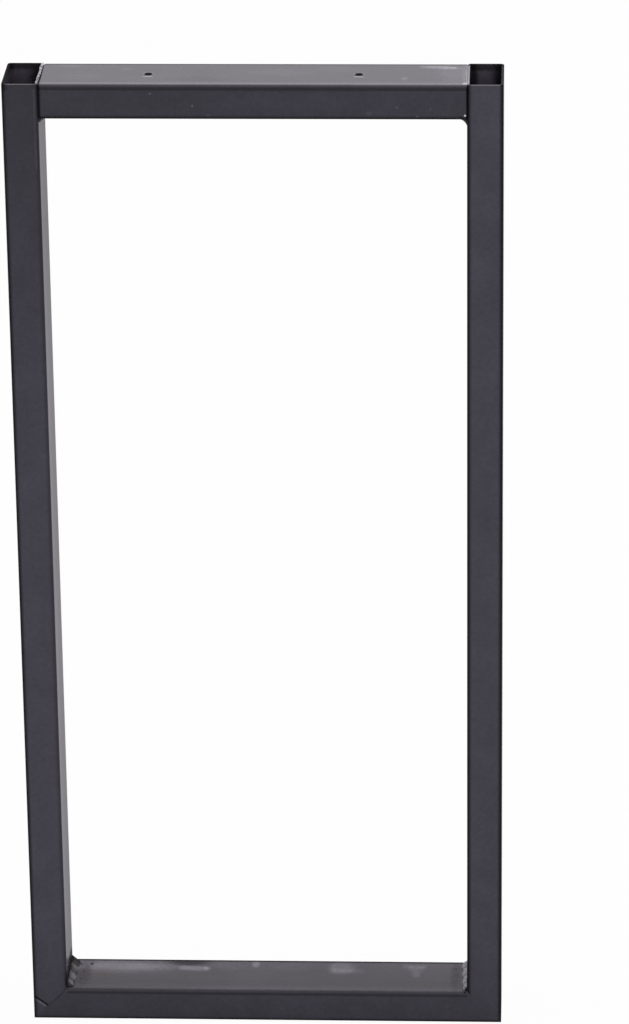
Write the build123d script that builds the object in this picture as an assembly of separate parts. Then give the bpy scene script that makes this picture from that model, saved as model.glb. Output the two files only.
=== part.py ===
from build123d import *
import math
import os

# A welded steel leg frame for a table: two upright box tubes, a rail butted between their open tops and a
# rail mitred to their lower ends. X runs along the rails, Y through the depth with the front at -Y, and Z
# goes up from the floor. The origin is at the middle of the underside. All lengths are in millimetres.

# Overall size of the frame
WIDTH = 344.0
HEIGHT = 720.0

# Rectangular box tube, with its narrow face to the front
TUBE_FACE = 25.0
TUBE_DEPTH = 50.0
WALL = 1.5
CORNER_RADIUS = 2.5
SMALLEST_INNER_RADIUS = 0.5

# Broken edges at the open tops of the posts and at the left and right ends of the top rail
POST_END_BREAK = 0.3
RAIL_END_BREAKS = {-1: 1.1, 1: 0.25}

# Ground mitre seams on the broad sides: length from the inner corner and depth, by side of the frame
MITRE_SEAMS = {-1: (20.0, 0.3), 1: (25.0, 0.15)}

# The grinder left a step across the outer corner of the left mitre, from the edge to the seam's lower end
STEP_HEIGHT = 18.5
STEP_DEPTH = 0.7
STEP_RUN = 3.5
STEP_SEAM_GAP = 0.8

# Two screws go up through the top rail, and their heads pass the larger bores in its lower wall
SCREW_SPACING = 145.0
SCREW_BORE = 5.5
DRIVER_BORE = 12.0

# Weld beads: ripples along the bead, longer lumps over them, and the taper of the two ends
RIPPLE_PITCH = 4.0
RIPPLE_CREST = 0.65
RIPPLE_DEPTH = 0.1
LUMP_SPACING = 12.5
LUMP_HEIGHT = 0.12
BEAD_END_SCALE = 0.55

# Each bead: side of the frame, 1 on the bottom rail or -1 under the top rail, legs along the rail at front
# and back, legs along the post at front and back, and how far its face swells as a share of the face's
# width, negative where the face is hollow
BEADS = {
    "weld_bottom_left": (-1, 1, (5.0, 7.5), (5.0, 6.0), -0.07),
    "weld_bottom_right": (1, 1, (3.7, 5.0), (3.2, 3.6), 0.05),
    "weld_top_left": (-1, -1, (4.5, 3.0), (4.0, 1.8), 0.03),
    "weld_top_right": (1, -1, (7.5, 5.5), (5.8, 4.6), -0.16),
}

# Sizes and places that follow from the values above
INNER_FACE = TUBE_FACE - 2 * WALL
INNER_DEPTH = TUBE_DEPTH - 2 * WALL
INNER_RADIUS = max(CORNER_RADIUS - WALL, SMALLEST_INNER_RADIUS)
CLEAR_WIDTH = WIDTH - 2 * TUBE_FACE
POST_CENTRE = (WIDTH - TUBE_FACE) / 2
FLAT_DEPTH = TUBE_DEPTH - 2 * CORNER_RADIUS
TOP_RAIL_UNDERSIDE = HEIGHT - TUBE_FACE


def box_tube(length):
    """A straight tube that stands on the XY plane, with its narrow side along X."""
    outside = RectangleRounded(TUBE_FACE, TUBE_DEPTH, CORNER_RADIUS)
    inside = RectangleRounded(INNER_FACE, INNER_DEPTH, INNER_RADIUS)
    return extrude(outside - inside, amount=length)


def rail_tube(length, underside):
    """A tube along X, centred on the frame, with its underside at the given height."""
    return Pos(-length / 2, 0, underside + TUBE_FACE / 2) * Rot(0, 90, 0) * box_tube(length)


def mitre_cut(tube, side, keep):
    """Cut a tube at 45 degrees through one lower corner of the frame and grind a seam on both broad sides."""
    mitre = Plane(origin=(side * WIDTH / 2, 0, 0), x_dir=(0, 1, 0), z_dir=(side, 0, 1))
    tube = split(tube, bisect_by=mitre, keep=keep)
    length, depth = MITRE_SEAMS[side]
    groove_side = depth * math.sqrt(2)
    from_corner = (Align.CENTER, Align.CENTER, Align.MIN)
    groove = Rot(0, 0, 45) * Box(groove_side, groove_side, length, align=from_corner)
    for surface in (-TUBE_DEPTH / 2, TUBE_DEPTH / 2):
        inner_corner = (side * CLEAR_WIDTH / 2, surface, TUBE_FACE)
        tube -= Plane(origin=inner_corner, x_dir=(0, 1, 0), z_dir=(side, 0, -1)) * groove
    return tube


def ground_step():
    """The wedge that the grinder took off the front of the left post, steep above and running out below."""
    seam_end = TUBE_FACE - MITRE_SEAMS[-1][0] / math.sqrt(2)
    front = -TUBE_DEPTH / 2
    start = Vector(-WIDTH / 2, front, STEP_HEIGHT)
    end = Vector(-WIDTH / 2 + seam_end - STEP_SEAM_GAP, front, seam_end + STEP_SEAM_GAP)
    along = (end - start).normalized()
    downhill = Vector(0, 1, 0).cross(along)
    profile = Polygon((0, -STEP_DEPTH), (STEP_RUN, -STEP_DEPTH), (STEP_RUN, 0), (0, STEP_DEPTH), align=None)
    return extrude(Plane(origin=start, x_dir=downhill, z_dir=along) * profile, amount=(end - start).length)


def post(side):
    """An upright with an open square top and a mitred lower end."""
    tube = Pos(side * POST_CENTRE, 0, 0) * box_tube(HEIGHT)
    rim = tube.faces().sort_by(Axis.Z)[-1]
    tube = chamfer(rim.outer_wire().edges(), POST_END_BREAK)
    return mitre_cut(tube, side, Keep.TOP)


def bottom_rail():
    """The floor rail, mitred at both ends."""
    tube = rail_tube(WIDTH, 0)
    for side in (-1, 1):
        tube = mitre_cut(tube, side, Keep.BOTTOM)
    return tube


def top_rail():
    """The rail between the open tops of the posts, bored for the two screws that hold a table top."""
    tube = rail_tube(CLEAR_WIDTH, TOP_RAIL_UNDERSIDE)
    for side, end in ((-1, 0), (1, -1)):
        rim = tube.faces().sort_by(Axis.X)[end]
        tube = chamfer(rim.outer_wire().edges(), RAIL_END_BREAKS[side])
    centre = TOP_RAIL_UNDERSIDE + TUBE_FACE / 2
    for place in (-SCREW_SPACING / 2, SCREW_SPACING / 2):
        up = (Align.CENTER, Align.CENTER, Align.MIN)
        down = (Align.CENTER, Align.CENTER, Align.MAX)
        tube -= Pos(place, 0, centre) * Cylinder(SCREW_BORE / 2, TUBE_FACE, align=up)
        tube -= Pos(place, 0, centre) * Cylinder(DRIVER_BORE / 2, TUBE_FACE, align=down)
    return tube


def bead_slice(depth, rail_leg, post_leg, swell):
    """A slice across a bead: two legs in the corner and a swollen or hollow face between their toes."""
    crown = (rail_leg / 2 + swell * post_leg, post_leg / 2 + swell * rail_leg)
    legs = Polyline((0, post_leg), (0, 0), (rail_leg, 0))
    face = ThreePointArc((rail_leg, 0), crown, (0, post_leg))
    across = Plane(origin=(0, depth, 0), x_dir=(1, 0, 0), z_dir=(0, -1, 0))
    return across * make_face([*legs.edges(), face.edge()])


def bead_thickness(depth, ripple):
    """How full the bead is at a depth, as a share of its legs, with long lumps on top of the ripples."""
    return ripple * (1 + LUMP_HEIGHT * math.sin(2 * math.pi * depth / LUMP_SPACING))


def weld_bead(side, upward, rail_legs, post_legs, swell):
    """A bead laid along one inner corner from the front to the back."""
    count = round(FLAT_DEPTH / RIPPLE_PITCH)
    pitch = FLAT_DEPTH / count
    stations = [(-FLAT_DEPTH / 2, BEAD_END_SCALE)]
    for ripple in range(count):
        start = -FLAT_DEPTH / 2 + ripple * pitch
        if ripple > 0:
            stations.append((start, 1 - RIPPLE_DEPTH))
        stations.append((start + RIPPLE_CREST * pitch, 1))
    stations.append((FLAT_DEPTH / 2, BEAD_END_SCALE))
    slices = []
    for depth, ripple in stations:
        share = depth / FLAT_DEPTH + 0.5
        scale = bead_thickness(depth, ripple)
        rail_leg = scale * (rail_legs[0] + (rail_legs[1] - rail_legs[0]) * share)
        post_leg = scale * (post_legs[0] + (post_legs[1] - post_legs[0]) * share)
        slices.append(bead_slice(depth, rail_leg, post_leg, swell))
    bead = loft(slices, ruled=True)
    if side > 0:
        bead = mirror(bead, about=Plane.YZ)
    if upward < 0:
        bead = mirror(bead, about=Plane.XY)
    corner_height = TUBE_FACE if upward > 0 else TOP_RAIL_UNDERSIDE
    return Pos(side * CLEAR_WIDTH / 2, 0, corner_height) * bead


pieces = {
    "left_post": post(-1) - ground_step(),
    "right_post": post(1),
    "bottom_rail": bottom_rail(),
    "top_rail": top_rail(),
}
for bead_name, bead_sizes in BEADS.items():
    pieces[bead_name] = weld_bead(*bead_sizes)

os.makedirs("parts", exist_ok=True)
for node, shape in pieces.items():
    export_step(shape, f"parts/{node}.step")
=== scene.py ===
import math

import bpy
from mathutils import Euler, Matrix, Vector


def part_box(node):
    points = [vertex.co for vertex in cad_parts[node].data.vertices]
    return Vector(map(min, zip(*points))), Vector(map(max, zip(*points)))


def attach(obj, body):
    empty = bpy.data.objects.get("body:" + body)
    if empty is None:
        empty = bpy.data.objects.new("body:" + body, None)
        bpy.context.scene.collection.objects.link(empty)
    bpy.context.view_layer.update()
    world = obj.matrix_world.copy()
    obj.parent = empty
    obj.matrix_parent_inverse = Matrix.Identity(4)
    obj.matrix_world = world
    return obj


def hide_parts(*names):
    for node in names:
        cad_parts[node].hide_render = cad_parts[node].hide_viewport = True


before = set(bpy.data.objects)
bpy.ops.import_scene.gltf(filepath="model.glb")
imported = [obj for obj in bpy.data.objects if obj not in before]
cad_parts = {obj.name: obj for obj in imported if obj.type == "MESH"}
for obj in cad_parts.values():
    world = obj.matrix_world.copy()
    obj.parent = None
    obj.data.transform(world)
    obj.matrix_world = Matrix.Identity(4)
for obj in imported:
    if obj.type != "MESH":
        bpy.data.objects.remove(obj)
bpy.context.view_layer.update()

MM = 0.001

# Sizes and places of the tubes, read from the frame in metres
POST_LOW, POST_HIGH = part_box("right_post")
RAIL_LOW, RAIL_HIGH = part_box("bottom_rail")
TOP_LOW, TOP_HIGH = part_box("top_rail")
TUBE_FACE = POST_HIGH.x - POST_LOW.x
TUBE_DEPTH = POST_HIGH.y - POST_LOW.y
POST_CENTRE = (POST_LOW.x + POST_HIGH.x) / 2
BOTTOM_CENTRE = (RAIL_LOW.z + RAIL_HIGH.z) / 2
TOP_CENTRE = (TOP_LOW.z + TOP_HIGH.z) / 2

# Wall and corners of the tubes, as in the part's source, and the slack with which the inner wall is found
WALL = 1.5 * MM
CORNER_RADIUS = 2.5 * MM
WALL_SLACK = 0.15 * MM

# Camera, as fitted to the tube edges of the photograph
PICTURE_HEIGHT = 1024
FOCAL_PIXELS = 5158.98
SENSOR = 36.0
CAMERA_PLACE = Vector((0.196888, -3.389494, 1.786827))
CAMERA_PITCH = math.radians(22.305)
CAMERA_YAW = math.radians(-2.680)
CAMERA_ROLL = math.radians(-0.700)
CAMERA_REACH = 50

# Studio light: its levels in front of the frame and behind it, its lift near the horizon and its dimming at
# the sides. Each range gives where a change begins and where it is whole, from -1 to 1 along one axis
WHITE = (1, 1, 1, 1)
WORLD_TINT = (1.03, 0.985, 1.035, 1.0)
WORLD_FRONT = 0.8
WORLD_BACK = 1.05
FRONT_TO_BACK = (-0.6, 0.4)
HORIZON_LIFT = 0.28
HORIZON_RANGE = (0.5, 0.28)
SIDE_DIM = 0.6
SIDE_RANGE = (0.55, 0.9)
LAMP_PLACE = (0.3, 0.6, 3.2)
LAMP_AIM = (0, 0, 0.4)
LAMP_SIZE = (2.5, 2.5)
LAMP_POWER = 25

# Floor
FLOOR_SIZE = 14.0
FLOOR_GAP = 0.0004
FLOOR_COLOUR = (0.62, 0.62, 0.62, 1.0)
FLOOR_WHITE = 0.97


def linear(red, green, blue):
    """A colour given in display values from 0 to 255, as the shaders want it."""
    def channel(value):
        share = value / 255
        return share / 12.92 if share <= 0.04045 else ((share + 0.055) / 1.055) ** 2.4
    return (channel(red), channel(green), channel(blue), 1.0)


# Colours of the coat: all over, what pale marks and painted highlights add, inside the tubes, and where heat
# has browned it
COAT = linear(67, 66, 75)
PALE_MARK_AND_HIGHLIGHT = linear(70, 68, 71)
INSIDE_COAT = linear(94, 89, 100)
WELD_STAIN = linear(66, 61, 66)

# Gloss and texture of the coat. Each size is about that of one lump of the noise
COAT_ROUGHNESS = 0.3
COAT_SPECULAR = 0.25
CLOUD_SIZE = 26 * MM
MOTTLE_SIZE = 3.2 * MM
PEEL_SIZE = 4 * MM
PEEL_SHARE = 1.6
TUBE_GRAIN = 0.7 * MM
TUBE_MOTTLE = 0.45
TUBE_BUMP = 0.3
WELD_GRAIN = 0.8 * MM
WELD_MOTTLE = 0.5
WELD_BUMP = 0.2
BUMP_DISTANCE = 0.1 * MM

# Painted shade at the edges of a tube's front face: how far from the edge it begins and is whole, and how
# dull it is.
# A facing is 0 on a side, 1 on the front and between them on the rounded corner
EDGE_BEGIN = 3.8 * MM
EDGE_WHOLE = 0.6 * MM
EDGE_DULLNESS = 0.55
# The band is a painted highlight at the front of a side; the broad facing is where it fades on the rounded
# corner
BAND_BEGIN = 0.2 * MM
NARROW_FACING = (0.02, 0.2)
BROAD_FACING = (0.05, 0.45)
LEAST_TURN = 0.01 * MM

# Outlines of the marks: the size of their waver, and at what shares of a mark's width it begins and is whole
LINE_WAVER = 1.8 * MM
LINE_OUTLINE = (0.7, 0.25)
SPOT_WAVER = 3.5 * MM
SPOT_OUTLINE = (1.0, 0.35)
STAIN_RAGGED = 0.6

# Coat of the weld metal: its crowns, which are paler with painted highlight and glossier, and thin places,
# which are browner
CROWN_SIZE = 4.5 * MM
CROWN_RANGE = (0.35, 0.7)
CROWN_GLOSS = 0.06
THIN_SIZE = 5 * MM
THIN_RANGE = (0.55, 0.7)
THIN_STAIN = 0.5

# Shape of the weld metal: how finely it is remeshed and the size and height of its lumps, in mm
LUMP_LEVEL = 0.4
BEAD_VOXEL = 0.33
BEAD_LUMP = 5.0
RIDGE_VOXEL = 0.2
RIDGE_SMOOTHING = 3
RIDGE_ROUNDING = 0.3
DROP_LUMP = 0.7
DROP_LUMP_HEIGHT = 0.35
MERGE_DISTANCE = 0.01


def new_material(name):
    material = bpy.data.materials.new(name)
    material.use_nodes = True
    material.node_tree.nodes.clear()
    return material, material.node_tree


def set_inputs(tree, made, inputs):
    for key, value in inputs.items():
        if isinstance(value, bpy.types.NodeSocket):
            tree.links.new(value, made.inputs[key])
        else:
            made.inputs[key].default_value = value


def node(tree, kind, inputs=None, **settings):
    """A node with its settings and inputs. An input is a plain value or another node's output socket."""
    made = tree.nodes.new(kind)
    for key, value in settings.items():
        setattr(made, key, value)
    set_inputs(tree, made, inputs or {})
    return made


def calc(tree, operation, first, second=0.0, third=0.0):
    return node(tree, "ShaderNodeMath", {0: first, 1: second, 2: third}, operation=operation).outputs[0]


def vector(tree, operation, first, second=(0.0, 0.0, 0.0), result="Vector"):
    made = node(tree, "ShaderNodeVectorMath", {0: first, 1: second}, operation=operation)
    return made.outputs[result]


def scaled(tree, first, share):
    """A vector or a colour times a number."""
    return node(tree, "ShaderNodeVectorMath", {0: first, "Scale": share}, operation="SCALE").outputs[0]


def ramp(tree, value, low, high):
    """Smoothly from 0 where the value is at low to 1 where it is at high."""
    inputs = {"Value": value, "From Min": low, "From Max": high}
    return node(tree, "ShaderNodeMapRange", inputs, interpolation_type="SMOOTHSTEP").outputs["Result"]


def noise(tree, place, size, detail=2.0, rough=0.5):
    """Cloudy noise from 0 to 1 whose lumps are about as large as the given size."""
    inputs = {"Vector": place, "Scale": 1 / size, "Detail": detail, "Roughness": rough}
    return node(tree, "ShaderNodeTexNoise", inputs).outputs["Fac"]


def shared_group(name, inputs, outputs):
    """An empty node group. Inputs give each socket's kind and usual value, and outputs are all numbers."""
    tree = bpy.data.node_groups.new(name, "ShaderNodeTree")
    for title, (kind, value) in inputs.items():
        socket = tree.interface.new_socket(title, in_out="INPUT", socket_type="NodeSocket" + kind)
        socket.default_value = value
    for title in outputs:
        tree.interface.new_socket(title, in_out="OUTPUT", socket_type="NodeSocketFloat")
    given = tree.nodes.new("NodeGroupInput").outputs
    result = tree.nodes.new("NodeGroupOutput").inputs
    return tree, given, result


def use_group(tree, shared, inputs):
    made = node(tree, "ShaderNodeGroup", node_tree=shared)
    set_inputs(tree, made, inputs)
    return made.outputs


def coat_texture_group():
    """The coat's own look: slow cloudy tone, small mottle, and the fine pebbled height of baked powder."""
    tree, given, result = shared_group(
        "coat_texture",
        {
            "Place": ("Vector", (0, 0, 0)), "Mottle": ("Float", TUBE_MOTTLE),
            "Grain Size": ("Float", TUBE_GRAIN),
        },
        ("Tone", "Height"),
    )
    place = given["Place"]
    clouds = noise(tree, place, CLOUD_SIZE)
    mottle = noise(tree, place, MOTTLE_SIZE, detail=3.0, rough=0.6)
    both = calc(tree, "ADD", clouds, mottle)
    swing = calc(tree, "MULTIPLY", calc(tree, "SUBTRACT", both, 1.0), given["Mottle"])
    tree.links.new(calc(tree, "ADD", swing, 1.0), result["Tone"])
    scale = calc(tree, "DIVIDE", 1.0, given["Grain Size"])
    grain = node(tree, "ShaderNodeTexNoise", {"Vector": place, "Scale": scale, "Detail": 2.0}).outputs["Fac"]
    peel = noise(tree, place, PEEL_SIZE, detail=1.0)
    tree.links.new(calc(tree, "MULTIPLY_ADD", peel, PEEL_SHARE, grain), result["Height"])
    return tree


def tube_edges_group():
    """Where a point lies on a box tube: by an edge of the front face, where shade is painted, at the front of
    a side, where a highlight is painted, or inside.
    """
    tree, given, result = shared_group(
        "tube_edges",
        {"Across": ("Float", 0.0), "Depth": ("Float", 0.0), "Band": ("Float", 8 * MM)},
        ("Low Edge Shade", "High Edge Shade", "Front Highlight", "Inside"),
    )
    across = calc(tree, "ABSOLUTE", given["Across"])
    depth = calc(tree, "ABSOLUTE", given["Depth"])
    into_side = calc(tree, "MAXIMUM", calc(tree, "SUBTRACT", across, TUBE_FACE / 2 - CORNER_RADIUS), 0.0)
    into_front = calc(tree, "MAXIMUM", calc(tree, "SUBTRACT", depth, TUBE_DEPTH / 2 - CORNER_RADIUS), 0.0)
    both = calc(tree, "MAXIMUM", calc(tree, "ADD", into_side, into_front), LEAST_TURN)
    facing = calc(tree, "DIVIDE", into_front, both)
    narrow = ramp(tree, facing, *NARROW_FACING)
    rim = ramp(tree, across, TUBE_FACE / 2 - EDGE_BEGIN, TUBE_FACE / 2 - EDGE_WHOLE)
    in_front = calc(tree, "LESS_THAN", given["Depth"], 0.0)
    edge = calc(tree, "MULTIPLY", calc(tree, "MULTIPLY", narrow, rim), in_front)
    high = calc(tree, "GREATER_THAN", given["Across"], 0.0)
    tree.links.new(calc(tree, "MULTIPLY", edge, high), result["High Edge Shade"])
    tree.links.new(calc(tree, "MULTIPLY", edge, calc(tree, "SUBTRACT", 1.0, high)), result["Low Edge Shade"])
    front = calc(tree, "ADD", given["Depth"], TUBE_DEPTH / 2)
    band = calc(tree, "SUBTRACT", 1.0, ramp(tree, front, BAND_BEGIN, given["Band"]))
    broad = calc(tree, "SUBTRACT", 1.0, ramp(tree, facing, *BROAD_FACING))
    tree.links.new(calc(tree, "MULTIPLY", broad, band), result["Front Highlight"])
    inside_face = calc(tree, "LESS_THAN", across, TUBE_FACE / 2 - WALL + WALL_SLACK)
    inside_depth = calc(tree, "LESS_THAN", depth, TUBE_DEPTH / 2 - WALL + WALL_SLACK)
    tree.links.new(calc(tree, "MULTIPLY", inside_face, inside_depth), result["Inside"])
    return tree


def stroke_group():
    """A line drawn in space from one point to another, with a wavering, broken outline."""
    tree, given, result = shared_group(
        "stroke",
        {
            "Place": ("Vector", (0, 0, 0)), "Start": ("Vector", (0, 0, 0)), "End": ("Vector", (0, 0, 1)),
            "Width": ("Float", MM), "Waver": ("Float", 0.3),
        },
        ("Mask",),
    )
    from_start = vector(tree, "SUBTRACT", given["Place"], given["Start"])
    whole = vector(tree, "SUBTRACT", given["End"], given["Start"])
    reach = vector(tree, "DOT_PRODUCT", from_start, whole, "Value")
    length = vector(tree, "DOT_PRODUCT", whole, whole, "Value")
    share = calc(tree, "MINIMUM", calc(tree, "MAXIMUM", calc(tree, "DIVIDE", reach, length), 0.0), 1.0)
    nearest = scaled(tree, whole, share)
    away = vector(tree, "LENGTH", vector(tree, "SUBTRACT", from_start, nearest), result="Value")
    waver = calc(tree, "SUBTRACT", noise(tree, given["Place"], LINE_WAVER), 0.5)
    shift = calc(tree, "MULTIPLY", calc(tree, "MULTIPLY", waver, given["Waver"]), given["Width"])
    bent = calc(tree, "MULTIPLY_ADD", shift, 2.0, away)
    outer, core = (calc(tree, "MULTIPLY", given["Width"], part) for part in LINE_OUTLINE)
    tree.links.new(ramp(tree, bent, outer, core), result["Mask"])
    return tree


def patch_group():
    """A soft, ragged patch around a point, with its own reach along each axis."""
    tree, given, result = shared_group(
        "patch",
        {
            "Place": ("Vector", (0, 0, 0)), "Centre": ("Vector", (0, 0, 0)),
            "Reach": ("Vector", (MM, MM, MM)), "Ragged": ("Float", 0.4),
        },
        ("Mask",),
    )
    from_centre = vector(tree, "SUBTRACT", given["Place"], given["Centre"])
    away = vector(tree, "LENGTH", vector(tree, "DIVIDE", from_centre, given["Reach"]), result="Value")
    waver = calc(tree, "SUBTRACT", noise(tree, given["Place"], SPOT_WAVER, detail=3.0, rough=0.6), 0.5)
    torn = calc(tree, "MULTIPLY_ADD", waver, calc(tree, "MULTIPLY", given["Ragged"], 2.0), away)
    tree.links.new(ramp(tree, torn, *SPOT_OUTLINE), result["Mask"])
    return tree


COAT_TEXTURE = coat_texture_group()
TUBE_EDGES = tube_edges_group()
STROKE = stroke_group()
PATCH = patch_group()


def line(start, end, width, tone, rough=0.0, waver=0.3):
    """A streak, seam or scratch, or a line of painted shade or highlight, in mm, with the tone it multiplies
    and the roughness it adds.
    """
    points = {"Start": Vector(start) * MM, "End": Vector(end) * MM, "Width": width * MM, "Waver": waver}
    return (STROKE, points, tone, rough)


def spot(centre, reach, tone, rough=0.0, ragged=0.4):
    """A smudge or speck, or a spot of painted shade or highlight, in mm, with its reach along each axis, and
    with its tone and roughness.
    """
    points = {"Centre": Vector(centre) * MM, "Reach": Vector(reach) * MM, "Ragged": ragged}
    return (PATCH, points, tone, rough)


def hole_marks(across):
    """Marks round a screw hole of the top rail: a pale rim and a pale line in front, both painted highlights,
    and painted shade in its dark mouth.
    """
    return [
        spot((across, -0.8, 720), (5.2, 6.4, 1.0), 2.6, -0.04, 0.1),
        spot((across, -2.3, 720), (4.4, 3.3, 1.2), 0.05, 0.4, 0.1),
        line((across - 2.4, -5.8, 720), (across + 2.4, -5.8, 720), 2.6, 3.6, -0.05, 0.2),
    ]


# Marks on the tubes and beads, placed from the photograph, in mm. The front is at Y -25, the frame's
# top at Z 720, the bottom rail's top at Z 25, and the posts' inner sides are at X -147 and 147. A tone above
# 1 is paler than the coat and below 1 darker. A roughness above 0 is duller and below 0 glossier
LEFT_MITRE_LINE = line((-148.7, -25, 23.6), (-160.5, -25, 11.7), 1.0, 0.85)
RIGHT_MITRE_LINE = line((147, -25, 25), (165, -25, 7), 1.0, 1.2)
TOP_RAIL_MARKS = hole_marks(-72.5) + hole_marks(72.5) + [
    # Painted shade: a dark line under the front face's top rounding and one along the top face's rear edge
    line((-146, -25, 717.2), (146, -25, 717.2), 2.6, 0.45, 0.1, 0.1),
    line((-147, 22.6, 720), (147, 22.6, 720), 3.0, 0.3, 0.25, 0.15),
    line((116, 17, 720), (138, 15, 720), 4.4, 2.0, -0.04, 0.6),
    line((130, 12, 720), (142, 14, 720), 2.6, 1.6, -0.03, 0.8),
    spot((139, 0, 720), (16, 30, 1), 1.5, -0.02, 0.5),
    spot((145.2, -20.5, 720), (1.9, 4, 1), 2.6, -0.04),
    line((145.4, -18, 720), (145.4, 21, 720), 3.4, 1.5, -0.02, 0.5),
    spot((128, 17, 720), (14, 6, 1), 1.7, -0.03, 0.8),
    spot((-88, 11, 720), (5, 4, 1), 1.5, -0.02),
    spot((-128, 18, 720), (14, 6, 1), 1.4, -0.02),
    spot((104, -10, 720), (3, 5, 1), 1.9, -0.04),
    spot((20, 4, 720), (30, 12, 1), 1.25, -0.01),
    spot((-118, -6, 720), (22, 10, 1), 1.25, -0.01),
    spot((60, 12, 720), (26, 9, 1), 1.2, -0.01),
    spot((-40, -12, 720), (30, 9, 1), 0.85, 0.01),
    # Painted shade in the seams where the top rail meets the posts, and painted light over the right seam on
    # top
    line((-147, -25, 719), (-147, 2, 719), 2.8, 0.03, 0.6, 0.2),
    line((-147, -25, 719), (-147, -25, 695), 3.4, 0.03, 0.6, 0.1),
    line((147, -25, 719), (147, -25, 695), 1.4, 0.1, 0.5, 0.1),
    line((146.9, -23, 720), (146.9, 24, 720), 1.3, 2.4, -0.04, 0.4),
    spot((-70.0, -25, 713.7), (1.0, 1, 1.0), 2.6),
    spot((-41.0, -25, 705.0), (1.1, 1, 1.1), 2.6),
    spot((99.0, -25, 704.0), (1.3, 1, 1.2), 1.7),
    spot((122.0, -25, 703.0), (0.9, 1, 1.5), 1.6),
    spot((113.0, -25, 697.6), (1.0, 1, 0.8), 2.6),
    spot((30, -25, 708), (60, 1, 9), 1.08),
    spot((80, -25, 700), (3, 1, 2), 1.3),
    spot((-30, -25, 698), (2, 1, 2), 1.4),
    spot((142.6, -25, 697.0), (1.2, 1.5, 1.0), 0.2, 0.2, 0.2),
]
BOTTOM_RAIL_MARKS = [
    # Painted highlight: the pale, glossier band with its bright line and blob near the back of the top face's
    # left half
    spot((-113, 12, 25), (52, 14, 1), 2.1, -0.04, 0.4),
    line((-134, 12.5, 25), (-74, 11.5, 25), 10.0, 1.5, -0.03, 0.3),
    line((-64, 10.5, 25), (-47, 9, 25), 7.0, 2.5, -0.05, 0.15),
    spot((-55, 9.5, 25), (15, 7, 1), 1.4, -0.03, 0.2),
    spot((-100, -14, 25), (70, 18, 2), 0.78, 0.0, 0.3),
    spot((-46.5, 10.5, 25), (3.0, 4.5, 1), 1.5, -0.04, 0.3),
    spot((-50, -6, 25), (40, 26, 2), 0.8, 0.01, 0.3),
    spot((0, -12, 25), (300, 30, 2), 0.82, 0.0, 0.2),
    line((-147, -12.5, 25), (147, -12.5, 25), 9.0, 0.86, 0.0, 0.4),
    spot((-60, 20.5, 25), (22, 9, 1), 0.3, 0.3, 0.2),
    # Painted shade along the top face's rear edge
    line((-147, 22.6, 25), (147, 22.6, 25), 3.4, 0.1, 0.5, 0.15),
    line((-60, -20.5, 25), (147, -20.5, 25), 5.0, 1.2, -0.01, 0.2),
    spot((-10, 17, 25), (3.5, 7, 1), 3.0, -0.06),
    spot((-28, 14, 25), (20, 9, 1), 1.3, -0.01, 0.6),
    spot((20, 14, 25), (24, 9, 1), 1.25, -0.01, 0.6),
    line((47, 18, 25), (47, 4, 25), 4.0, 1.3, -0.03, 0.4),
    spot((54, 12, 25), (13, 13, 1), 2.3, -0.04, 0.3),
    line((50, 8, 25), (68, 7, 25), 7.0, 1.5, -0.03, 0.4),
    spot((108.5, 11, 25), (7, 8, 1), 1.2, -0.01, 0.2),
    line((102, 16, 25), (113.5, 16, 25), 7.0, 1.7, -0.03, 0.2),
    line((105, 14, 25), (109, 2, 25), 6.0, 1.45, -0.02, 0.2),
    line((112.5, 14, 25), (109, 2, 25), 6.0, 1.45, -0.02, 0.2),
    spot((-132, 15.5, 25), (2.0, 3.5, 1), 0.1, 0.3),
    spot((-136, 0, 25), (7, 26, 1), 0.35, 0.12, 0.7),
    spot((60, -2, 25), (95, 40, 2), 0.8, 0.02, 0.3),
    spot((138, 0, 25), (5, 30, 1), 0.5, 0.08, 0.3),
    # Painted shade under the front face's top rounding
    line((-146, -25, 22.4), (146, -25, 22.4), 2.4, 0.5, 0.1, 0.15),
    LEFT_MITRE_LINE,
    RIGHT_MITRE_LINE,
    # Painted shade in the gap where the rail's front meets the right post
    spot((145.4, -24, 25.0), (1.5, 1.8, 1.6), 0.05, 0.4),
    spot((148.2, -25, 25.5), (1.3, 1.3, 1.3), 0.05, 0.4),
    spot((60, -25, 12), (50, 1, 7), 0.93, 0.0),
]
LEFT_POST_MARKS = [
    # The ground step's upper lip in painted shade, and a painted highlight on its lower lip
    line((-170.9, -25, 18.6), (-161.9, -25, 11.8), 1.7, 0.02, 0.5, 0.15),
    line((-170.2, -25, 15.9), (-163.5, -25, 10.9), 1.5, 2.6, -0.1, 0.3),
    LEFT_MITRE_LINE,
    # Painted shade in the front seam with the top rail and along the outer and rear rims of the open top
    line((-147, -25, 719), (-147, -25, 695), 1.8, 0.03, 0.6, 0.1),
    line((-171.5, -25, 720), (-171.5, 25, 720), 2.6, 0.02, 0.65, 0.1),
    line((-172, 25, 720), (-147, 25, 720), 2.6, 0.02, 0.65, 0.1),
    # Painted highlight along the rounded corner between the front and the inner side
    line((-149.3, -25, 716), (-149.3, -25, 660), 1.6, 1.5, -0.03, 0.2),
    # Painted shade on the inner side where the bead meets it
    spot((-147, -8, 31), (2, 42, 11), 0.04, 0.6, 0.5),
    # Painted shade inside the open top, reaching through the wall onto the outer back face, with a paler spot
    # on the inner back wall
    line((-172, 23.5, 719), (-147, 23.5, 719), 7.0, 0.25, 0.3, 0.2),
    spot((-148, 23.5, 706), (11, 5, 24), 0.08, 0.3, 0.3),
    line((-170.5, 25, 718), (-170.5, -25, 718), 6.0, 0.4, 0.2, 0.2),
    spot((-164, 23.5, 709), (8, 4, 15), 1.35, 0.0, 0.2),
]
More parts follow.
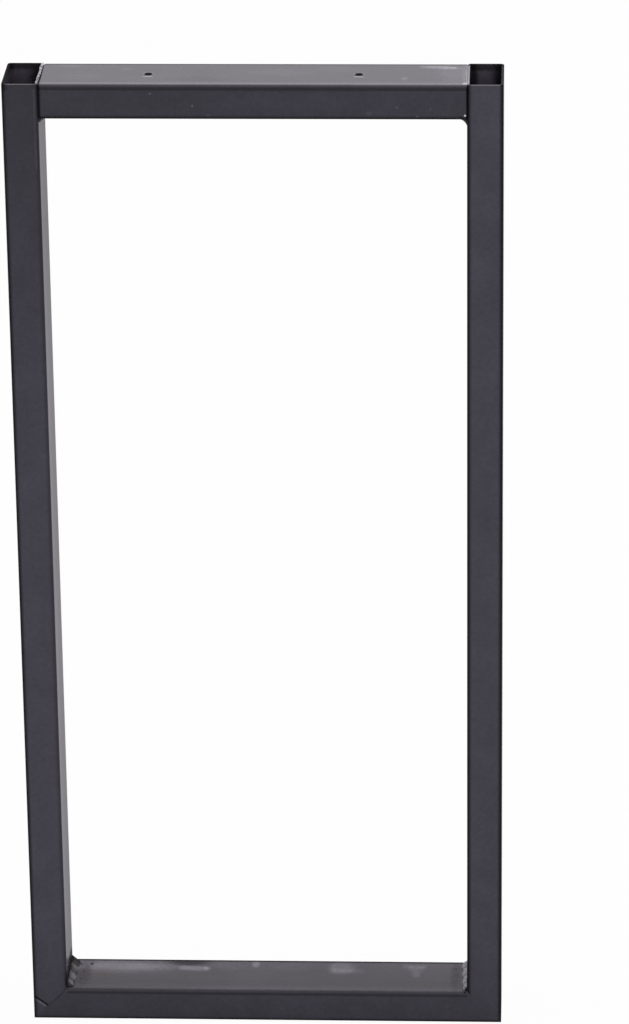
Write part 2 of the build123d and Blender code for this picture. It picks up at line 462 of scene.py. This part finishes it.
RIGHT_POST_MARKS = [
    # Painted shade in the front seam with the top rail and along the outer rim of the open top, and painted
    # light along the inner rim
    line((147, -25, 719), (147, -25, 695), 1.2, 0.1, 0.5, 0.1),
    RIGHT_MITRE_LINE,
    line((171.5, -25, 720), (171.5, 25, 720), 2.2, 0.1, 0.5, 0.1),
    line((147.7, -23, 720), (147.7, 24, 720), 1.6, 2.2, -0.04, 0.4),
    # Painted shade inside the open top, reaching through the wall onto the outer back face
    spot((149, 23.5, 710), (7, 5, 24), 0.15, 0.3, 0.3),
    spot((171, 23.5, 710), (9, 5, 24), 0.08, 0.3, 0.3),
    line((147, 23.5, 718.5), (172, 23.5, 718.5), 7.0, 0.25, 0.3, 0.2),
]
BEAD_MARKS = [
    # Painted shade on the left bead's back end, at the right bead's front by the post, and along the left
    # bead's side by the post
    spot((-143, 25, 28), (18, 16, 16), 0.01, 0.5, 0.1),
    spot((146.4, -22, 26.0), (2.0, 2.5, 2.4), 0.05, 0.4, 0.2),
    line((-147, -18, 31.5), (-147, 22, 31.5), 7.0, 0.15, 0.3, 0.06),
    spot((-141, 6, 28), (16, 17, 12), 0.5, 0.1, 0.1),
    # Painted highlight: the glint on the spatter drop at the top rail's right end
    spot((145.6, -24.9, 698.3), (3, 3, 3), 5.0, -0.08, 0.1),
]


def shade(tree, value, mask, factor):
    """The value where the mask is 0, and the value times the factor where it is 1."""
    return calc(tree, "MULTIPLY", value, calc(tree, "MULTIPLY_ADD", mask, factor - 1, 1.0))


def blend(tree, share, first, second):
    """From the first colour where the share is 0 to the second where it is 1."""
    made = node(tree, "ShaderNodeMix", {"Factor": share, "A": first, "B": second}, data_type="RGBA")
    return made.outputs["Result"]


def paint_marks(tree, place, marks, tone, rough):
    """The tone and roughness with each mark laid over the last."""
    for shared, points, factor, shift in marks:
        mask = use_group(tree, shared, {"Place": place, **points})["Mask"]
        tone = shade(tree, tone, mask, factor)
        if shift:
            rough = calc(tree, "MULTIPLY_ADD", mask, shift, rough)
    return tone, rough


def coat_shader(tree, colour, tone, rough, height, bump_strength):
    """The coat's surface. A tone below 1 darkens its colour, and what is above 1 adds the pale colour; the
    tone carries painted shade and highlights.
    """
    dark = calc(tree, "MINIMUM", tone, 1.0)
    pale = calc(tree, "MAXIMUM", calc(tree, "SUBTRACT", tone, 1.0), 0.0)
    toned = vector(tree, "ADD", scaled(tree, colour, dark), scaled(tree, PALE_MARK_AND_HIGHLIGHT[:3], pale))
    bump = node(tree, "ShaderNodeBump", {
        "Height": height, "Strength": bump_strength, "Distance": BUMP_DISTANCE,
    })
    shader = node(tree, "ShaderNodeBsdfPrincipled", {
        "Base Color": toned, "Roughness": rough, "Normal": bump.outputs["Normal"],
        "Specular IOR Level": COAT_SPECULAR,
    })
    out = node(tree, "ShaderNodeOutputMaterial")
    tree.links.new(shader.outputs["BSDF"], out.inputs["Surface"])


def tube_coat(name, upright, centre, marks, drifts, edges, band, stains=()):
    """Powder coat on one tube.

    Each drift gives two places along the tube in mm and the tone at both, as painted light and shade. The
    edges say how much painted shade darkens the low and the high edge of the front face, and the band how
    wide and how pale the painted highlight at the front of a side is.
    """
    material, tree = new_material(name)
    place = node(tree, "ShaderNodeTexCoord").outputs["Object"]
    parts = node(tree, "ShaderNodeSeparateXYZ", {0: place}).outputs
    texture = use_group(tree, COAT_TEXTURE, {
        "Place": place, "Mottle": TUBE_MOTTLE, "Grain Size": TUBE_GRAIN,
    })
    across = calc(tree, "SUBTRACT", parts["X" if upright else "Z"], centre)
    where = use_group(tree, TUBE_EDGES, {"Across": across, "Depth": parts["Y"], "Band": band[0] * MM})
    tone, rough = paint_marks(tree, place, marks, texture["Tone"], COAT_ROUGHNESS)
    for low, high, low_tone, high_tone in drifts:
        drift = node(tree, "ShaderNodeMapRange", {
            "Value": parts["Z" if upright else "X"], "From Min": low * MM, "From Max": high * MM,
            "To Min": low_tone, "To Max": high_tone,
        }).outputs["Result"]
        tone = calc(tree, "MULTIPLY", tone, drift)
    for title, dark in zip(("Low Edge Shade", "High Edge Shade"), edges):
        tone = shade(tree, tone, where[title], 1 - dark)
        rough = calc(tree, "MULTIPLY_ADD", where[title], dark * EDGE_DULLNESS, rough)
    tone = shade(tree, tone, where["Front Highlight"], band[1])
    colour = blend(tree, where["Inside"], COAT, INSIDE_COAT)
    for stain_centre, stain_reach in stains:
        mask = use_group(tree, PATCH, {
            "Place": place, "Centre": Vector(stain_centre) * MM, "Reach": Vector(stain_reach) * MM,
            "Ragged": STAIN_RAGGED,
        })["Mask"]
        colour = blend(tree, mask, colour, WELD_STAIN)
    coat_shader(tree, colour, tone, rough, texture["Height"], TUBE_BUMP)
    return material


def weld_coat(name, dips, crowns):
    """The same powder over rough weld metal, with the tone of its dips, which paints how light or dark the
    bead is lit, and the painted highlight its crowns add to that.
    """
    material, tree = new_material(name)
    place = node(tree, "ShaderNodeTexCoord").outputs["Object"]
    texture = use_group(tree, COAT_TEXTURE, {
        "Place": place, "Mottle": WELD_MOTTLE, "Grain Size": WELD_GRAIN,
    })
    lumps = ramp(tree, noise(tree, place, CROWN_SIZE), *CROWN_RANGE)
    tone = calc(tree, "MULTIPLY", texture["Tone"], calc(tree, "MULTIPLY_ADD", lumps, crowns, dips))
    tone, rough = paint_marks(tree, place, BEAD_MARKS, tone, COAT_ROUGHNESS)
    rough = calc(tree, "MULTIPLY_ADD", lumps, -CROWN_GLOSS, rough)
    thin = ramp(tree, noise(tree, place, THIN_SIZE), *THIN_RANGE)
    colour = blend(tree, calc(tree, "MULTIPLY", thin, THIN_STAIN), COAT, WELD_STAIN)
    coat_shader(tree, colour, tone, rough, texture["Height"], WELD_BUMP)
    return material


def coat_solid(name, coat):
    """Put a finish on one of the part's own solids."""
    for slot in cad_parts[name].material_slots:
        slot.material = coat


def select_only(piece):
    bpy.ops.object.select_all(action="DESELECT")
    piece.select_set(True)
    bpy.context.view_layer.objects.active = piece


def apply_modifiers(piece):
    select_only(piece)
    for modifier in list(piece.modifiers):
        bpy.ops.object.modifier_apply(modifier=modifier.name)


def melt(piece, voxel, smoothing, lump_size, lump_height):
    """Run a piece's flats and corners together, then raise lumps on it."""
    remesh = piece.modifiers.new("remesh", "REMESH")
    remesh.mode = "VOXEL"
    remesh.voxel_size = voxel * MM
    smooth = piece.modifiers.new("smooth", "SMOOTH")
    smooth.iterations = smoothing
    texture = bpy.data.textures.new("weld_lumps", "CLOUDS")
    texture.noise_scale = lump_size * MM
    texture.noise_depth = 1
    raised = piece.modifiers.new("raised", "DISPLACE")
    raised.texture = texture
    raised.strength = lump_height * MM
    raised.mid_level = LUMP_LEVEL
    apply_modifiers(piece)
    bpy.ops.object.shade_smooth()


def finish_piece(piece, material):
    """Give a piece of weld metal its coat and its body."""
    piece.data.materials.clear()
    piece.data.materials.append(material)
    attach(piece, "root")


def melted_bead(name, material, smoothing, lump_height):
    """A weld bead as it froze: the solid's ripples run together under uneven lumps."""
    piece = bpy.data.objects.new(name + "_run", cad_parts[name].data.copy())
    bpy.context.collection.objects.link(piece)
    select_only(piece)
    bpy.ops.object.mode_set(mode="EDIT")
    bpy.ops.mesh.select_all(action="SELECT")
    bpy.ops.mesh.remove_doubles(threshold=MERGE_DISTANCE * MM)
    bpy.ops.object.mode_set(mode="OBJECT")
    melt(piece, BEAD_VOXEL, smoothing, BEAD_LUMP, lump_height)
    finish_piece(piece, material)
    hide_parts(name)


def rim_ridge(name, low, high, lump_size, lump_height, material):
    """A ragged ridge of weld metal that fills the given box, in mm."""
    middle = (Vector(low) + Vector(high)) / 2 * MM
    size = (Vector(high) - Vector(low)) * MM
    bpy.ops.object.select_all(action="DESELECT")
    bpy.ops.mesh.primitive_cube_add(size=1, location=middle, scale=size)
    piece = bpy.context.object
    piece.name = name
    bpy.ops.object.transform_apply(location=True, rotation=True, scale=True)
    bpy.ops.object.mode_set(mode="EDIT")
    bpy.ops.mesh.bevel(offset=min(size) * RIDGE_ROUNDING, segments=3, affect="EDGES")
    bpy.ops.object.mode_set(mode="OBJECT")
    melt(piece, RIDGE_VOXEL, RIDGE_SMOOTHING, lump_size, lump_height)
    finish_piece(piece, material)


def spatter(name, drops, material):
    """Small drops of weld metal on the tubes, as one piece. Each drop has its place and radius in mm."""
    bpy.ops.object.select_all(action="DESELECT")
    made = []
    for place, radius in drops:
        centre = Vector(place) * MM
        bpy.ops.mesh.primitive_ico_sphere_add(subdivisions=3, radius=radius * MM, location=centre)
        made.append(bpy.context.object)
    bpy.ops.object.select_all(action="DESELECT")
    for drop in made:
        drop.select_set(True)
    bpy.context.view_layer.objects.active = made[0]
    bpy.ops.object.join()
    piece = bpy.context.object
    piece.name = name
    bpy.ops.object.transform_apply(location=True, rotation=True, scale=True)
    texture = bpy.data.textures.new("drop_lumps", "CLOUDS")
    texture.noise_scale = DROP_LUMP * MM
    dented = piece.modifiers.new("dented", "DISPLACE")
    dented.texture = texture
    dented.strength = DROP_LUMP_HEIGHT * MM
    apply_modifiers(piece)
    bpy.ops.object.shade_smooth()
    finish_piece(piece, material)


def place_camera():
    data = bpy.data.cameras.new("camera")
    data.sensor_width = SENSOR
    data.lens = FOCAL_PIXELS * SENSOR / PICTURE_HEIGHT
    data.clip_end = CAMERA_REACH
    camera = bpy.data.objects.new("camera", data)
    bpy.context.collection.objects.link(camera)
    level = Euler((math.pi / 2 - CAMERA_PITCH, 0, -CAMERA_YAW)).to_matrix()
    turned = level @ Matrix.Rotation(CAMERA_ROLL, 3, "Z")
    camera.matrix_world = Matrix.Translation(CAMERA_PLACE) @ turned.to_4x4()
    bpy.context.scene.camera = camera


def light_world():
    """White all round, softer on the camera's side, and plain white behind the frame for the camera."""
    world = bpy.data.worlds.new("studio")
    bpy.context.scene.world = world
    world.use_nodes = True
    tree = world.node_tree
    tree.nodes.clear()
    direction = node(tree, "ShaderNodeTexCoord").outputs["Generated"]
    parts = node(tree, "ShaderNodeSeparateXYZ", {0: direction}).outputs
    level = node(tree, "ShaderNodeMapRange", {
        "Value": parts["Y"], "From Min": FRONT_TO_BACK[0], "From Max": FRONT_TO_BACK[1],
        "To Min": WORLD_FRONT, "To Max": WORLD_BACK,
    }).outputs["Result"]
    level = shade(tree, level, ramp(tree, parts["Z"], *HORIZON_RANGE), 1 + HORIZON_LIFT)
    beside = ramp(tree, calc(tree, "ABSOLUTE", parts["X"]), *SIDE_RANGE)
    level = shade(tree, level, beside, 1 - SIDE_DIM)
    path = node(tree, "ShaderNodeLightPath")
    light = node(tree, "ShaderNodeBackground", {"Color": WORLD_TINT, "Strength": level})
    white = node(tree, "ShaderNodeBackground", {"Color": WHITE, "Strength": 1.0})
    mix = node(tree, "ShaderNodeMixShader", {
        0: path.outputs["Is Camera Ray"], 1: light.outputs[0], 2: white.outputs[0],
    })
    out = node(tree, "ShaderNodeOutputWorld")
    tree.links.new(mix.outputs[0], out.inputs["Surface"])


def area_lamp(name, place, aim, size, power):
    data = bpy.data.lights.new(name, "AREA")
    data.shape = "RECTANGLE"
    data.size, data.size_y = size
    data.energy = power
    lamp = bpy.data.objects.new(name, data)
    bpy.context.collection.objects.link(lamp)
    lamp.location = place
    lamp.rotation_euler = (Vector(aim) - Vector(place)).to_track_quat("-Z", "Y").to_euler()


def lay_floor():
    """A pale floor that the camera sees as white, with the frame's shadow on it."""
    bpy.ops.object.select_all(action="DESELECT")
    bpy.ops.mesh.primitive_plane_add(size=FLOOR_SIZE, location=(0, 0, -FLOOR_GAP))
    floor = bpy.context.object
    floor.name = "floor"
    material, tree = new_material("white_floor")
    path = node(tree, "ShaderNodeLightPath")
    matt = node(tree, "ShaderNodeBsdfDiffuse", {"Color": FLOOR_COLOUR})
    white = node(tree, "ShaderNodeEmission", {"Color": WHITE, "Strength": 1.0})
    share = calc(tree, "MULTIPLY", path.outputs["Is Camera Ray"], FLOOR_WHITE)
    mix = node(tree, "ShaderNodeMixShader", {0: share, 1: matt.outputs[0], 2: white.outputs[0]})
    out = node(tree, "ShaderNodeOutputMaterial")
    tree.links.new(mix.outputs[0], out.inputs["Surface"])
    floor.data.materials.append(material)


place_camera()
light_world()
area_lamp("top_lamp", LAMP_PLACE, LAMP_AIM, LAMP_SIZE, LAMP_POWER)
lay_floor()

# The drifts are painted light and shade: the rails darker than the posts, each tube's tone shifting along it,
# and the posts darker near the floor
COATS = {
    "left_post": tube_coat(
        "left_post_coat", True, -POST_CENTRE, LEFT_POST_MARKS,
        drifts=[(450, 720, 1.02, 0.66), (8, 70, 0.84, 1.0)], edges=(0.95, 0.35), band=(30, 2.2)),
    "right_post": tube_coat(
        "right_post_coat", True, POST_CENTRE, RIGHT_POST_MARKS,
        drifts=[(0, 720, 1.0, 1.08), (8, 70, 0.84, 1.0)], edges=(0.95, 0.95), band=(30, 1.8)),
    "top_rail": tube_coat(
        "top_rail_coat", False, TOP_CENTRE, TOP_RAIL_MARKS,
        drifts=[(-147, 147, 0.74, 0.82)], edges=(0.95, 0.0), band=(8, 3.4)),
    "bottom_rail": tube_coat(
        "bottom_rail_coat", False, BOTTOM_CENTRE, BOTTOM_RAIL_MARKS,
        drifts=[(-147, 147, 0.76, 0.84)], edges=(0.95, 0.0), band=(4, 1.5),
        stains=[((-128, -4, 25), (20, 16, 2)), ((140, 8, 25), (6, 12, 2))]),
}
for name, coat in COATS.items():
    coat_solid(name, coat)

# Each bead with its coat, the rounds of smoothing that melt its ripples, and the height of its lumps in mm
# The weld coats are lit and shaded copies of one coat: a darker one with painted shade, and a paler one and a
# rim one with painted highlights
shaded_weld = weld_coat("shaded_weld_coat", 0.55, 0.2)
highlit_weld = weld_coat("highlit_weld_coat", 2.9, 0.5)
rim_glint_weld = weld_coat("rim_glint_weld_coat", 2.0, 6.0)
for name, weld, smoothing, lump_height in (
    ("weld_bottom_left", shaded_weld, 90, 0.16), ("weld_bottom_right", highlit_weld, 40, 0.2),
    ("weld_top_left", shaded_weld, 18, 0.5), ("weld_top_right", shaded_weld, 26, 0.5),
):
    coat_solid(name, weld)
    melted_bead(name, weld, smoothing, lump_height)

# Ragged ridge along the left post's inner rim, thin in front and touching the rail behind
rim_ridge("rim_ridge_front", (-148.6, -23.8, 719.5), (-147.5, 1, 720.3), 3.0, 1.7, rim_glint_weld)
rim_ridge("rim_ridge_back", (-148.5, -1, 719.3), (-147.0, 23.8, 720.3), 3.2, 1.8, rim_glint_weld)

# Drops at the corners, each with its place and radius in mm
spatter("weld_spatter", [
    ((145.6, -24.7, 698.3), 0.8), ((-138.5, -6, 25), 0.5), ((-136.8, 4, 25), 0.6), ((-133.5, 12, 25), 0.4),
    ((-139.5, 15, 25), 0.6), ((-131, -14, 25), 0.45), ((139.5, 3, 25), 0.45), ((138.2, 14, 25), 0.5),
    ((146.8, -6, 31), 0.5), ((-146.9, 5, 34), 0.5), ((-146.9, -9, 37), 0.4),
], highlit_weld)

bpy.context.scene.view_settings.view_transform = "Standard"
